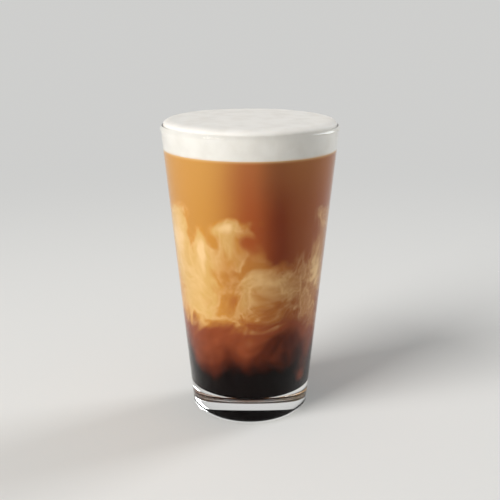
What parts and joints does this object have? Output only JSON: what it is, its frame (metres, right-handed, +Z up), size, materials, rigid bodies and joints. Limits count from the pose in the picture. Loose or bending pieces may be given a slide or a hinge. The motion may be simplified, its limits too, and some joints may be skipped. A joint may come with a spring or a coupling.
{
  "type": "glass of layered iced coffee with milk foam",
  "caption": "Tall tapered glass tumbler filled to the lip with coffee that clears from dark at the base through milky swirls to amber, under a low dome of milk foam.",
  "frame": {"origin": "centre of the foot, on the surface that the glass stands on", "axes": "+Z up along the axis of the glass; -Y faces the viewer, +X to their right"},
  "size_m": [0.0888, 0.0888, 0.1526],
  "materials": {
    "clear_glass": "clear polished soda-lime glass",
    "dark_coffee": "near-black coffee with a red-brown glow",
    "clouded_coffee": "amber coffee with cream and tan clouds of milk",
    "amber_coffee": "clear amber-brown coffee",
    "milk_foam": "smooth fine-bubbled off-white milk foam"
  },
  "bodies": {
    "root": {"glass": "clear_glass", "dark_coffee": "dark_coffee", "clouded_coffee": "clouded_coffee", "amber_coffee": "amber_coffee", "milk_foam": "milk_foam"}
  },
  "joints": []
}
